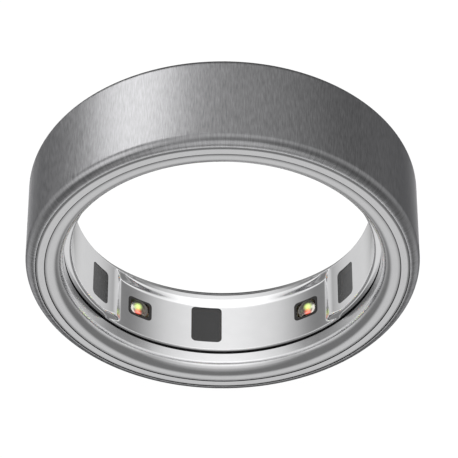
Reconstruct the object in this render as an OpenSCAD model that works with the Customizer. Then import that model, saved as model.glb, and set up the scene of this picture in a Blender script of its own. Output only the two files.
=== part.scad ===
// Smart ring: a wide metal ring with optical sensors behind windows in its inner liner.
// The finger hole runs along Y, the front rim faces -Y and the sensors lie at the bottom.
// Angles along the ring are measured from the bottom and grow towards +X.

/* [Ring] */
// Inside diameter of the finger hole
finger_d = 20.6; // [18:0.1:23]
// Thickness from the finger hole to the outside of the band
ring_wall = 3.1; // [3:0.05:3.5]
// Width of the ring along its axis
ring_w = 7.75; // [7.6:0.05:9]

/* [Outer band] */
// Thickness of the band's wall
band_wall = 0.85; // [0.75:0.01:0.9]
// Radius of the band's rounded edges
edge_round = 1.73; // [1.3:0.01:1.9]
// Angle that a rounded edge turns through before the seam
edge_angle = 50; // [44:1:54]
// How far the band's ends lie behind the rims
band_set = 0.175; // [0.14:0.005:0.25]
// Width of the flat left at the band's ends
band_lip = 0.05; // [0.03:0.01:0.1]
// Depth of the rebates that take the end rings
rebate_d = 0.83; // [0.6:0.01:0.95]

/* [End rings] */
// Radius of the rolled nose at each rim
nose_round = 0.77; // [0.6:0.01:0.85]
// Width of the flat land on the rim
land_w = 0.26; // [0.15:0.01:0.35]
// Step from the land down to the outer face
face_step = 0.13; // [0.08:0.01:0.16]
// Radius of the slight crown on the outer face
face_crown = 2; // [1:0.1:6]
// Width of the crease at the foot of the land
crease_w = 0.1; // [0.05:0.01:0.15]
// Depth of the crease below the outer face
crease_d = 0.1; // [0.05:0.01:0.2]
// Small bevel on the end rings' outer corner
corner_break = 0.03; // [0.02:0.01:0.05]
// Slope of the roll where it runs in to the seam, in degrees
lip_angle = 8; // [4:1:12]
// How far the front roll reaches in from its rim
front_lip = 1.6; // [1.4:0.01:1.8]
// How far the rear roll reaches in from its rim
rear_lip = 0.835; // [0.82:0.005:0.9]

/* [Liner] */
// Thickness of the liner's wall
liner_wall = 0.65; // [0.55:0.01:0.7]
// Height of the liner's end flanges above its wall
flange_h = 0.3; // [0.28:0.01:0.4]
// Width of the liner's end flanges
flange_w = 0.37; // [0.25:0.01:0.5]
// Step from the finger hole out to the front seam
lip_reveal = 0.6; // [0.5:0.01:0.7]
// Rounding of the liner's front edge
front_round = 0.22; // [0.1:0.01:0.3]
// Rounding of the liner's rear edge
rear_round = 0.42; // [0.3:0.01:0.55]
// Width of the front seam, between the end ring and the liner
front_seam = 0.16; // [0.08:0.01:0.25]
// Width of the rear seam
rear_seam = 0.08; // [0.04:0.01:0.12]
// Depth of the seams before the sealing beads
seam_d = 0.12; // [0.05:0.01:0.2]

/* [Sensor recess] */
// Depth of the recess below the finger hole's wall
recess_d = 0.35; // [0.2:0.01:0.45]
// Half angle of the recess at its top edges, in degrees
recess_angle = 48.4; // [46:0.1:50]
// Rounding where the side plateaus fall to the floor
recess_edge = 1.5; // [0.8:0.05:2]
// Rounding where the floor climbs to the rear strip
ramp_round = 0.45; // [0.4:0.05:0.8]
// Width of the full strip behind the recess
rear_strip = 0.06; // [0.05:0.01:0.4]
// Angle of the middle of the plateaus' slanted front edges, in degrees
toe_angle = 50.5; // [49:0.5:52]
// Distance from the liner's front end to the foot of those edges
toe_set = 0.03; // [0:0.01:0.2]
// Slant of those edges along the ring, in degrees
toe_slant_angle = 15; // [8:1:20]
// Lean of their walls, in degrees
toe_lean_angle = 30; // [10:1:45]
// Half length of those edges
toe_l = 1.6; // [1.5:0.05:1.8]
// Rounding of the floor's front edge
floor_round = 0.12; // [0.05:0.01:0.2]

/* [Windows] */
// Angle of the side light sensors from the bottom, in degrees
side_angle = 56.4; // [56:0.1:60]
// Width of the side windows around the ring
side_w = 1.73; // [1.2:0.01:1.9]
// Length of the side windows along the ring's axis
side_l = 2.8; // [2.2:0.05:3]
// Place of the side windows along the ring's axis
side_y = 0.05; // [-0.1:0.01:0.4]
// Angle of the middle light sensor, in degrees
middle_angle = -6.35; // [-10:0.05:0]
// Width of the middle window
middle_w = 2.13; // [1.5:0.01:2.4]
// Length of the middle window
middle_l = 3.03; // [2.2:0.01:3.1]
// Place of the middle window along the ring's axis
middle_y = 0.18; // [0:0.01:0.3]
// Angle of the light emitters, in degrees
led_angle = 33.6; // [30:0.1:35]
// Width of the emitters' frames
led_w = 1.9; // [1.7:0.01:2.2]
// Length of the emitters' frames
led_l = 1.55; // [1.4:0.01:2]
// Place of the emitters along the ring's axis
led_y = 0.28; // [0:0.01:0.4]
// Wall of the emitters' frames
barrier_wall = 0.2; // [0.12:0.01:0.25]
// Height of the frames above the floor
barrier_h = 0.04; // [0:0.01:0.1]
// Height of the lens domes above the floor
dome_h = 0.3; // [0.1:0.01:0.35]
// Radius of the lens domes
dome_round = 1.05; // [1:0.01:1.4]
// Corner rounding of the windows
window_corner = 0.3; // [0.2:0.01:0.35]
// How far the windows lie below the surface round them
window_set = 0.03; // [0.01:0.01:0.06]

/* [Circuit] */
// Thickness of the flexible circuit
flex_t = 0.12; // [0.08:0.01:0.15]
// Half angle of the flexible circuit, in degrees
flex_angle = 98; // [97:1:100]
// Thickness of the light sensors
photodiode_t = 0.22; // [0.15:0.01:0.24]
// Thickness of the emitters' boards
led_board_t = 0.1; // [0.06:0.01:0.12]
// Thickness of the emitters
die_t = 0.1; // [0.06:0.01:0.12]
// Width of the emitters
die_w = 0.32; // [0.2:0.01:0.4]
// Width of the processor's package
processor_w = 3; // [2.4:0.1:3.2]
// Width of the sensor driver's package
driver_w = 2.6; // [2:0.1:2.8]
// Thickness of the packages
package_t = 0.5; // [0.3:0.05:0.7]

/* [Power] */
// Half angle of the battery, in degrees
battery_angle = 74; // [60:1:78]
// Corner rounding of the battery
battery_round = 0.3; // [0.1:0.05:0.4]
// Half angle of the charging coil, in degrees
coil_angle = 30; // [20:1:33]
// Width of the coil's winding
winding_w = 0.9; // [0.5:0.05:1.2]
// Thickness of the coil
coil_t = 0.11; // [0.06:0.01:0.12]
// Thickness of the ferrite sheet
ferrite_t = 0.08; // [0.05:0.01:0.09]

/* [Hidden] */
$fn = 128;

// Clearances and the overrun of cuts
fit_gap = 0.04;
bond_gap = 0.03;
flex_gap = 0.05;
solder_gap = 0.02;
window_gap = 0.02;
cell_gap = 0.15;
overrun = 0.5;

// Radii from the finger hole outwards
bore_r = finger_d / 2;
floor_r = bore_r + recess_d;
liner_r = bore_r + liner_wall;
flange_r = liner_r + flange_h;
flex_in_r = flange_r + flex_gap;
flex_out_r = flex_in_r + flex_t;
band_r = bore_r + ring_wall;
cavity_r = band_r - band_wall;

// The band's rounded edge and its rebate
half_w = ring_w / 2;
band_end = half_w - band_set;
edge_y = band_end - edge_round * sin(edge_angle);
edge_r = band_r - edge_round;
seam_r = edge_r + edge_round * cos(edge_angle);
rebate_r = seam_r - band_lip;
shoulder = band_end - rebate_d;

// The end rings' profile, from the front seam outwards
ring_out_r = rebate_r - fit_gap;
ring_seat = shoulder + bond_gap;
front_lip_y = half_w - front_lip;
rear_lip_y = half_w - rear_lip;
nose_y = half_w - nose_round;
nose_end = nose_y + nose_round * sin(lip_angle);
nose_r = bore_r + lip_reveal + (nose_end - front_lip_y) * tan(lip_angle)
    + nose_round * cos(lip_angle);
land_r = nose_r + land_w;
face_y = half_w - face_step;
face_out_y = band_end + corner_break;

// The liner's ends, the recess and the seals
liner_front = front_seam - front_lip_y;
liner_rear = rear_lip_y - rear_seam;
recess_back = liner_rear - rear_round - rear_strip;
seal_r = bore_r + lip_reveal + seam_d;

// The circuit's width and its packages
flex_margin = 0.3;
flex_w = 2 * (shoulder - flex_margin);
photodiode_margin = 0.3;
led_board_margin = 0.22;
die_spread = 0.3;
temperature_w = 1;
temperature_l = 0.6;
temperature_t = 0.25;
temperature_angle = 74;
stiffener_t = 0.1;
stiffener_angle = 12;
processor_angle = -56;
memory_w = 2.4;
memory_l = 2;
memory_angle = -38;
power_w = 2.2;
power_angle = -76;
motion_w = 2;
motion_l = 2.5;
motion_angle = -22;
crystal_w = 1.2;
crystal_l = 1.6;
crystal_t = 0.4;
crystal_angle = -8;
driver_angle = 10;
capacitor_w = 0.5;
capacitor_l = 1;
capacitor_t = 0.45;
capacitor_step_angle = 7;
capacitor_rows = 5;
capacitor_angle = 28;
capacitor_y = 1.1;
antenna_w = 1.6;
antenna_l = 3.2;
antenna_t = 0.6;
antenna_angle = 76;
protection_w = 1.4;
protection_angle = 91;

// The battery, its tabs and the coil beneath it
battery_l = flex_w;
battery_out_r = cavity_r - cell_gap;
tab_w = 0.8;
tab_t = 0.08;
tab_y = 1.1;
tab_lap_angle = 5;
tab_clear_angle = 0.3;
coil_r = liner_r + solder_gap;
coil_front = liner_front + flange_w + cell_gap;
coil_rear = liner_rear - flange_w - cell_gap;
coil_y = (coil_front + coil_rear) / 2;
coil_l = coil_rear - coil_front;
coil_w = 2 * liner_r * sin(coil_angle);
coil_corner = winding_w;
ferrite_r = coil_r + coil_t + solder_gap;
ferrite_margin_angle = 4;

// Radius of the roll where it runs in to a seam at axial place y
function lip_r(y) = nose_r - nose_round * cos(lip_angle) - (nose_end - y) * tan(lip_angle);

// Distance at which a flat package of width w clears the inside of the flexible circuit
function inner_seat(w) = sqrt(pow(flex_in_r, 2) - pow(w / 2, 2)) - solder_gap;

// Turns an outline of radius and axial place about the ring's axis
module turned() {
    rotate([-90, 0, 0]) rotate_extrude() children();
}

// A tube about the ring's axis
module tube(r_in, r_out, y_from, y_to) {
    turned() translate([r_in, y_from]) square([r_out - r_in, y_to - y_from]);
}

// Turns an outline through part of a circle, centred on the given angle
module arc_of(at, half) {
    rotate([-90, 0, 0]) rotate([0, 0, 90 - at - half]) rotate_extrude(angle = 2 * half) children();
}

// A curved plate about the ring's axis
module arc_plate(at, half, r_in, thick, y, length) {
    arc_of(at, half) translate([r_in, y - length / 2]) square([thick, length]);
}

// Stands its children on the ring at an angle, with their own Z pointing outwards
module on_arc(at) {
    rotate([0, 180 - at, 0]) children();
}

// A rectangle with true round corners
module rounded_rectangle(w, l, corner) {
    square([w - 2 * corner, l], center = true);
    square([w, l - 2 * corner], center = true);
    for (x = [-1, 1], y = [-1, 1])
        translate([x * (w / 2 - corner), y * (l / 2 - corner)]) circle(corner);
}

// A radial prism that reaches from one radius to another
module prism(at, y, w, l, corner, r_in, r_out) {
    on_arc(at) translate([0, y, r_in]) linear_extrude(r_out - r_in) rounded_rectangle(w, l, corner);
}

// A window whose faces follow the ring
module curved_window(at, y, w, l, corner, r_in) {
    intersection() {
        prism(at, y, w, l, corner, bore_r - overrun, liner_r + overrun);
        tube(r_in, liner_r, -ring_w, ring_w);
    }
}

// A flat package on the outside of the flexible circuit
module package_out(at, y, w, l, t) {
    on_arc(at) translate([-w / 2, y - l / 2, flex_out_r + solder_gap]) cube([w, l, t]);
}

// A flat package on the inside of the flexible circuit
module package_in(at, y, w, l, t) {
    on_arc(at) translate([-w / 2, y - l / 2, inner_seat(w) - t]) cube([w, l, t]);
}

// Half of the band's profile, with a rounded edge and a rebate for the end ring
module band_half_profile() {
    polygon([
        [cavity_r, 0], [band_r, 0], [band_r, edge_y], [seam_r, band_end],
        [rebate_r, band_end], [rebate_r, shoulder], [cavity_r, shoulder]
    ]);
    intersection() {
        translate([edge_r, edge_y]) circle(edge_round);
        translate([seam_r, edge_y]) square([band_r - seam_r, band_end - edge_y]);
    }
}

module outer_band() {
    color([0.56, 0.56, 0.57]) turned() for (side = [0, 1]) mirror([0, side]) band_half_profile();
}

// An end ring's profile: the crowned outer face, the crease, the land and the rolled nose
module end_ring_profile(lip_y, step_r) {
    face_in = [land_r + crease_w, face_y];
    face_out = [ring_out_r - corner_break, face_out_y];
    chord = face_out - face_in;
    rise = sqrt(pow(face_crown, 2) - pow(norm(chord) / 2, 2));
    crown = (face_in + face_out) / 2 + rise * [chord[1], -chord[0]] / norm(chord);
    polygon([
        [lip_r(lip_y), lip_y], [step_r, lip_y], [step_r, ring_seat], [ring_out_r, ring_seat],
        [ring_out_r, band_end], face_out, face_in, [land_r, face_y - crease_d],
        [land_r, half_w], [nose_r, half_w], [lip_r(nose_end), nose_end]
    ]);
    intersection() {
        translate([nose_r, nose_y]) circle(nose_round);
        translate([nose_r - nose_round, nose_end]) square([nose_round, half_w - nose_end]);
    }
    intersection() {
        translate(crown) circle(face_crown);
        translate([face_in[0], ring_seat]) square([chord[0], half_w - ring_seat]);
    }
}

module front_end_ring() {
    color([0.78, 0.78, 0.79]) mirror([0, 1, 0]) turned() end_ring_profile(front_lip_y, flange_r);
}

module rear_end_ring() {
    color([0.78, 0.78, 0.79]) turned() end_ring_profile(rear_lip_y, flange_r + fit_gap);
}

// What a rounding takes off a corner at radius r, at the front or the rear end
module corner_cut(r, end, radius, side) {
    difference() {
        translate([r - overrun, side > 0 ? end - radius : end - overrun])
            square([radius + overrun, radius + overrun]);
        translate([r + radius, end - side * radius]) circle(radius);
    }
}

// The liner's profile: a tube with a flange and a rounded edge at each end
module liner_profile() {
    difference() {
        union() {
            translate([bore_r, liner_front]) square([liner_wall, liner_rear - liner_front]);
            translate([bore_r, liner_front]) square([flange_r - bore_r, flange_w]);
            translate([bore_r, liner_rear - flange_w]) square([flange_r - bore_r, flange_w]);
        }
        corner_cut(bore_r, liner_front, front_round, -1);
        corner_cut(bore_r, liner_rear, rear_round, 1);
    }
}

// The recess along the ring: a floor that is open to the front and climbs to a full strip
module recess_profile() {
    difference() {
        translate([bore_r - overrun, liner_front - overrun])
            square([recess_d + overrun, recess_back - liner_front + overrun]);
        translate([bore_r + ramp_round, recess_back]) circle(ramp_round);
    }
    corner_cut(floor_r, liner_front, floor_round, -1);
}

// The recess across the ring: a wedge between two shoulders with rounded edges
module recess_wedge() {
    reach = 2 * liner_r;
    centre = bore_r + recess_edge;
    difference() {
        polygon([
            [0, 0],
            [-reach * sin(recess_angle), -reach * cos(recess_angle)],
            [reach * sin(recess_angle), -reach * cos(recess_angle)]
        ]);
        for (side = [-1, 1])
            translate([side * centre * sin(recess_angle), -centre * cos(recess_angle)])
                circle(recess_edge);
    }
}

// A leaning block that clears the corner in front of a plateau
module toe_block(side) {
    block_w = 4 * overrun;
    on_arc(side * toe_angle) translate([0, liner_front + toe_set, floor_r])
        rotate([0, 0, side * toe_slant_angle]) rotate([toe_lean_angle, 0, 0])
            translate([-toe_l, -block_w, -block_w / 2]) cube([2 * toe_l, block_w, block_w]);
}

module recess_cut() {
    intersection() {
        turned() recess_profile();
        union() {
            rotate([90, 0, 0]) linear_extrude(2 * ring_w, center = true) recess_wedge();
            for (side = [-1, 1]) toe_block(side);
        }
    }
}

// A hole through the liner, clear of the piece that fills it
module window_hole(at, y, w, l) {
    prism(at, y, w + 2 * window_gap, l + 2 * window_gap, window_corner + window_gap,
        bore_r - overrun, liner_r + overrun);
}

module inner_liner() {
    color([0.86, 0.86, 0.87]) difference() {
        turned() liner_profile();
        recess_cut();
        for (side = [-1, 1]) {
            window_hole(side * side_angle, side_y, side_w, side_l);
            window_hole(side * led_angle, led_y, led_w, led_l);
        }
        window_hole(middle_angle, middle_y, middle_w, middle_l);
    }
}

module front_seal() {
    color([0.16, 0.16, 0.17]) tube(seal_r, flange_r, -front_lip_y, liner_front);
}

module rear_seal() {
    color([0.16, 0.16, 0.17]) tube(lip_r(rear_lip_y) + seam_d, flange_r, liner_rear, rear_lip_y);
}

module side_window(side) {
    color([0.2, 0.2, 0.21])
        curved_window(side * side_angle, side_y, side_w, side_l, window_corner, bore_r + window_set);
}

module photodiode_window_left() {
    side_window(-1);
}

module photodiode_window_middle() {
    color([0.34, 0.34, 0.35])
        curved_window(middle_angle, middle_y, middle_w, middle_l, window_corner, floor_r + window_set);
}

module photodiode_window_right() {
    side_window(1);
}

// The opening of an emitter's frame, which the lens fills
lens_w = led_w - 2 * barrier_wall;
lens_l = led_l - 2 * barrier_wall;
lens_corner = window_corner - window_gap;

// A clear lens with a dome that stands above the recess floor
module lens(side) {
    top = floor_r - dome_h;
    color([0.75, 0.72, 0.62]) intersection() {
        prism(side * led_angle, led_y, lens_w, lens_l, lens_corner, top, liner_r);
        on_arc(side * led_angle) translate([0, led_y, top + dome_round]) sphere(dome_round);
    }
}

module led_window_left() {
    lens(-1);
}

module led_window_right() {
    lens(1);
}

// The opaque frame that keeps the emitter's light out of the liner
module light_barrier(side) {
    color([0.18, 0.17, 0.17]) difference() {
        curved_window(side * led_angle, led_y, led_w, led_l, window_corner, floor_r - barrier_h);
        prism(side * led_angle, led_y, lens_w + 2 * window_gap, lens_l + 2 * window_gap, window_corner,
            bore_r - overrun, liner_r + overrun);
    }
}

module light_barrier_left() {
    light_barrier(-1);
}

module light_barrier_right() {
    light_barrier(1);
}

module side_photodiode(side) {
    color([0.25, 0.27, 0.33]) package_in(side * side_angle, side_y,
        side_w - photodiode_margin, side_l - photodiode_margin, photodiode_t);
}

module photodiode_left() {
    side_photodiode(-1);
}

module photodiode_middle() {
    color([0.25, 0.27, 0.33]) package_in(middle_angle, middle_y,
        middle_w - photodiode_margin, middle_l - photodiode_margin, photodiode_t);
}

module photodiode_right() {
    side_photodiode(1);
}

// The emitter's board, and the place of its dies on it
board_w = led_w - led_board_margin;
board_l = led_l - led_board_margin;

module led_board(side) {
    color([0.85, 0.84, 0.8]) package_in(side * led_angle, led_y, board_w, board_l, led_board_t);
}

module led_board_left() {
    led_board(-1);
}

module led_board_right() {
    led_board(1);
}

// One die on each board, out from the board's middle by shares of the spread
module dies(out_share, rear_share) {
    seat = inner_seat(board_w) - led_board_t - die_t;
    for (side = [-1, 1])
        on_arc(side * led_angle)
            translate([-side * out_share * die_spread, led_y + rear_share * die_spread, seat])
                translate([-die_w / 2, -die_w / 2, 0]) cube([die_w, die_w, die_t]);
}

module green_emitters() {
    color([0.45, 0.85, 0.35]) dies(1, 0.8);
}

module red_emitters() {
    color([0.9, 0.25, 0.15]) dies(1, -1);
}

module infrared_emitters() {
    color([0.35, 0.2, 0.3]) dies(-1, 0);
}

module temperature_sensor() {
    color([0.3, 0.26, 0.22])
        package_in(temperature_angle, 0, temperature_w, temperature_l, temperature_t);
}

module flex_circuit() {
    color([0.75, 0.45, 0.15]) arc_plate(0, flex_angle, flex_in_r, flex_t, 0, flex_w);
}

module flex_stiffener() {
    color([0.6, 0.6, 0.62]) arc_plate(-flex_angle + stiffener_angle, stiffener_angle,
        flex_in_r - solder_gap - stiffener_t, stiffener_t, coil_y, coil_l);
}

module processor() {
    color([0.14, 0.14, 0.15]) package_out(processor_angle, 0, processor_w, processor_w, package_t);
}

module memory_chip() {
    color([0.17, 0.17, 0.18]) package_out(memory_angle, 0, memory_w, memory_l, package_t);
}

module power_chip() {
    color([0.17, 0.17, 0.18]) package_out(power_angle, 0, power_w, power_w, package_t);
}

module motion_sensor() {
    color([0.17, 0.17, 0.18]) package_out(motion_angle, 0, motion_w, motion_l, package_t);
}

module sensor_driver() {
    color([0.17, 0.17, 0.18]) package_out(driver_angle, 0, driver_w, driver_w, package_t);
}

module clock_crystal() {
    color([0.75, 0.75, 0.72]) package_out(crystal_angle, 0, crystal_w, crystal_l, crystal_t);
}

module capacitors() {
    color([0.66, 0.52, 0.38])
        for (place = [0 : capacitor_rows - 1], row = [-1, 1])
            package_out(capacitor_angle + place * capacitor_step_angle, row * capacitor_y,
                capacitor_w, capacitor_l, capacitor_t);
}

module antenna() {
    color([0.88, 0.88, 0.84]) package_out(antenna_angle, 0, antenna_w, antenna_l, antenna_t);
}

module protection_chip() {
    color([0.17, 0.17, 0.18])
        package_out(protection_angle, 0, protection_w, protection_w, package_t);
}

// A flat racetrack winding, bent to the liner
module charging_coil() {
    color([0.8, 0.48, 0.25]) intersection() {
        tube(coil_r, coil_r + coil_t, -ring_w, ring_w);
        difference() {
            prism(180, coil_y, coil_w, coil_l, coil_corner, 0, band_r);
            prism(180, coil_y, coil_w - 2 * winding_w, coil_l - 2 * winding_w,
                coil_corner / 2, -overrun, band_r + overrun);
        }
    }
}

module ferrite_sheet() {
    color([0.22, 0.22, 0.23])
        arc_plate(180, coil_angle + ferrite_margin_angle, ferrite_r, ferrite_t, coil_y, coil_l);
}

// A curved pouch cell with rounded edges
module battery_cell() {
    thick = battery_out_r - flex_in_r;
    color([0.62, 0.63, 0.65]) arc_of(180, battery_angle)
        translate([flex_in_r + thick / 2, 0]) rounded_rectangle(thick, battery_l, battery_round);
}

// Two strips that run from the battery's end onto the flexible circuit
module battery_tabs() {
    from = battery_angle - 180 + tab_clear_angle;
    to = -flex_angle + tab_lap_angle;
    color([0.78, 0.76, 0.7]) for (side = [-1, 1])
        arc_plate((from + to) / 2, (to - from) / 2, flex_out_r + solder_gap, tab_t,
            side * tab_y, tab_w);
}

outer_band();
front_end_ring();
rear_end_ring();
inner_liner();
front_seal();
rear_seal();
photodiode_window_left();
photodiode_window_middle();
photodiode_window_right();
led_window_left();
led_window_right();
light_barrier_left();
light_barrier_right();
photodiode_left();
photodiode_middle();
photodiode_right();
led_board_left();
led_board_right();
green_emitters();
red_emitters();
infrared_emitters();
temperature_sensor();
flex_circuit();
flex_stiffener();
processor();
memory_chip();
power_chip();
motion_sensor();
sensor_driver();
clock_crystal();
capacitors();
antenna();
protection_chip();
charging_coil();
ferrite_sheet();
battery_cell();
battery_tabs();
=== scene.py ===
"""Smart ring: a brushed band, polished end rings and a polished liner with its sensor windows."""

import math

import bmesh
import bpy
from bpy.props import FloatProperty, FloatVectorProperty, PointerProperty
from bpy.types import Operator, Panel, PropertyGroup
from mathutils import Matrix, Vector


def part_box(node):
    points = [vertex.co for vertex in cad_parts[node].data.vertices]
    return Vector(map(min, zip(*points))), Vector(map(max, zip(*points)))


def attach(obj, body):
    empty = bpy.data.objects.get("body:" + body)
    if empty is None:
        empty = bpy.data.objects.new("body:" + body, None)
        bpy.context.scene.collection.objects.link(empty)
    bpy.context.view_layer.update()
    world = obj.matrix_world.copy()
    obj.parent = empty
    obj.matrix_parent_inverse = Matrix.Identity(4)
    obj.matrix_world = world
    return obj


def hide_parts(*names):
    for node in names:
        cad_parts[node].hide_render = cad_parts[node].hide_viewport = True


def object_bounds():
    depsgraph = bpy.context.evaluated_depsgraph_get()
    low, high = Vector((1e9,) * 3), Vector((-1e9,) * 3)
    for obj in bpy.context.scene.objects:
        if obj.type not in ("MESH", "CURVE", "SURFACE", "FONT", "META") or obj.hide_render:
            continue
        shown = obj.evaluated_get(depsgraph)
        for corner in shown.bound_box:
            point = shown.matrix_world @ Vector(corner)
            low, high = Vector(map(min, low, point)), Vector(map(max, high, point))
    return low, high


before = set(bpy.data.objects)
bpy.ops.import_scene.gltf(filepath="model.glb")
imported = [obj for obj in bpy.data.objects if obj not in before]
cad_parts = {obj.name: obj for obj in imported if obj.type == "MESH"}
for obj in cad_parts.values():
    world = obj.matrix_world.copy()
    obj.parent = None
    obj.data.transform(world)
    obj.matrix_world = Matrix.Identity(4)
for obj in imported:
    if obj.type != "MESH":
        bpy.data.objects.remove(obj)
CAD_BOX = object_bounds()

bl_info = {
    "name": "Smart Ring",
    "version": (1, 0, 0),
    "blender": (4, 5, 0),
    "location": "View3D > Sidebar > Ring",
    "description": "Builds the looks of a smart ring round its packed frame",
    "category": "Object",
}

MM = 0.001
BODY = "root"
SIDES = {"left": -1, "right": 1}
RIMS = {"front": -1, "rear": 1}

# Steps round the ring, and round the liner where it has its recess and where it has none
TURN_STEPS = 360
RECESS_STEPS = 420
REST_STEPS = 118
RECESS_HALF = math.radians(62)

# Steps along the profiles' arcs and lines, and round the windows' corners
ARC_STEPS = 20
CORNER_STEPS = 10
FACE_STEPS = 4
ROLL_STEPS = 40
EDGE_STEPS = 8
BORE_STEPS = 70
LEAN_STEPS = 6
WINDOW_STEPS = 8

# Edges that turn by more than this are drawn sharp
SHARP_ANGLE = math.radians(28)

# Points that are nearer than this are made one: in the liner's seam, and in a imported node
SEAM_MERGE = 0.0001 * MM
NODE_MERGE = 0.001 * MM

# Share of the liner's wall up to which a point belongs to the inner face
INNER_SHARE = 0.9

# Softness where the recess's floor meets its falls, as a share of a fall
FLOOR_BLEND = 0.12

# Share of the crease's depth that its painted shade fills: a dark bead laid there to darken the
# crease
CREASE_SHADE_FILL = 0.4


# Sizes

def reach(node):
    """The largest radius of a node that goes right round the ring."""
    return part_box(node)[1].z


def length_property(name, default, description):
    """A size in metres."""
    return FloatProperty(name=name, default=default, description=description, unit="LENGTH",
                         precision=5)


def angle_property(name, degrees, description):
    """An angle that is given in degrees and kept in radians."""
    return FloatProperty(name=name, default=math.radians(degrees), description=description,
                         subtype="ANGLE", unit="ROTATION")


def share_property(name, share, description):
    """A part of a whole."""
    return FloatProperty(name=name, default=share, description=description, subtype="FACTOR",
                         min=0, max=1)


def linear(hex_colour):
    """An sRGB hex colour as linear RGBA."""
    shares = [int(hex_colour[i:i + 2], 16) / 255 for i in (1, 3, 5)]
    return (*(s / 12.92 if s <= 0.04045 else ((s + 0.055) / 1.055) ** 2.4 for s in shares), 1.0)


def colour_property(name, hex_colour, description):
    """A finish's colour."""
    return FloatVectorProperty(name=name, default=linear(hex_colour), description=description,
                               subtype="COLOR", size=4, min=0, max=1)


class RingBandSizes(PropertyGroup):
    """The outer band's profile."""
    radius: length_property("Radius", reach("outer_band"), "Outer radius of the band")
    half_width: length_property("Half width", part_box("outer_band")[1].y, "Middle to the band's end")
    edge_round: length_property("Edge radius", 0.68 * MM, "Radius of the rounded edges")
    edge_angle: angle_property("Edge angle", 85, "Angle that a rounded edge turns through")
    wall: length_property("Wall", 0.85 * MM, "Thickness of the band")
    lip: length_property("Lip", 0.05 * MM, "Width of the flat at the band's ends")
    rebate: length_property("Rebate", 0.83 * MM, "Depth of the rebates for the end rings")


class RingEndSizes(PropertyGroup):
    """The end rings' profile."""
    radius: length_property("Radius", reach("front_end_ring"), "Outer radius of the end rings")
    face: length_property("Face", 3.745 * MM, "Middle to the outer face")
    corner: length_property("Corner", 0.35 * MM, "Rounding of the outer face's outer corner")
    corner_angle: angle_property("Corner angle", 40, "Angle that the outer corner turns through")
    crease_radius: length_property("Crease radius", 12.055 * MM, "Radius of the crease")
    crease_width: length_property("Crease width", 0.06 * MM, "Width of the crease by the roll")
    crease_depth: length_property("Crease depth", 0.12 * MM, "Depth of the crease by the roll")
    nose_round: length_property("Nose radius", 0.9 * MM, "Radius of the rolled nose")
    nose_angle: angle_property("Nose angle", 111, "Angle of the roll where it meets the crease")
    nose_edge: length_property("Nose edge", 3.715 * MM, "Middle to the roll's edge at the crease")
    seat: length_property("Seat", 2.9 * MM, "Middle to the end rings' inner face")
    lip_angle: angle_property("Lip slope", 2, "Slope of the roll where it runs in to the seam")
    front_lip: length_property("Front lip", 2.275 * MM, "Middle to the front roll's lip")
    rear_lip: length_property("Rear lip", 3.04 * MM, "Middle to the rear roll's lip")
    rear_room: length_property("Rear room", 0.04 * MM, "Extra room over the rear seal")


class RingLinerSizes(PropertyGroup):
    """The liner and its recess."""
    bore: length_property("Bore radius", 10.3 * MM, "Radius of the finger hole")
    wall: length_property("Wall", 0.65 * MM, "Thickness of the liner")
    flange: length_property("Flange", 0.37 * MM, "Width of the end flanges")
    front_round: length_property("Front edge", 0.22 * MM, "Rounding of the front edge")
    lean: length_property("Rear lean", 0.48 * MM, "Width of the slanted rear edge")
    lean_round: length_property("Lean rounding", 0.3 * MM, "Rounding where the rear edge slants")
    lean_angle: angle_property("Lean angle", 34, "Slant of the rear edge")
    depth: length_property("Recess depth", 0.35 * MM, "Depth of the sensor recess")
    floor_round: length_property("Floor edge", 0.12 * MM, "Rounding of the floor's front edge")
    side_angle: angle_property("Recess side", 48.4, "Angle of the plateaus' edges")
    side_round: length_property("Side rounding", 1.5 * MM, "Rounding where the plateaus fall")
    toe_angle: angle_property("Toe angle", 50.5, "Angle of the middle of the slanted front edges")
    toe_slant: angle_property("Toe slant", 15, "Slant of the plateaus' front edges")
    toe_width: length_property("Toe width", 0.34 * MM, "Width of the fall at the front edges")
    ramp_width: length_property("Ramp width", 0.45 * MM, "Width of the climb behind the floor")
    ramp_blend: length_property("Ramp blend", 0.06 * MM, "Softness where the climb meets the sides")
    ramp_spread: length_property("Ramp spread", 0.4 * MM, "Extra width of the climb at the middle")
    ramp_angle: angle_property("Ramp angle", 42, "Angle where the extra width ends")
    ramp_low: share_property("Ramp drop", 0.6, "Share of the climb that the middle lacks")
    rear_strip: length_property("Rear strip", 0.48 * MM, "Width of the strip behind the recess")
    corner: length_property("Corner", 0.3 * MM, "Rounding of the recess's corners")


class RingWindowSizes(PropertyGroup):
    """The openings in the liner for the windows and the emitters."""
    corner: length_property("Corner", 0.3 * MM, "Corner rounding of the windows")
    gap: length_property("Gap", 0.02 * MM, "Gap round the windows")
    side_angle: angle_property("Side windows", 56.4, "Angle of the side windows")
    side_width: length_property("Side width", 1.73 * MM, "Width of the side windows")
    side_length: length_property("Side length", 2.8 * MM, "Length of the side windows")
    side_place: length_property("Side place", 0.05 * MM, "Axial place of the side windows")
    middle_angle: angle_property("Middle window", -6.35, "Angle of the middle window")
    middle_width: length_property("Middle width", 2.13 * MM, "Width of the middle window")
    middle_length: length_property("Middle length", 3.03 * MM, "Length of the middle window")
    middle_place: length_property("Middle place", 0.18 * MM, "Axial place of the middle window")
    frame_angle: angle_property("Emitters", 33.6, "Angle of the emitters")
    frame_width: length_property("Frame width", 1.9 * MM, "Width of the emitters' frames")
    frame_length: length_property("Frame length", 1.55 * MM, "Length of the emitters' frames")
    frame_place: length_property("Frame place", 0.28 * MM, "Axial place of the emitters")


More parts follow.
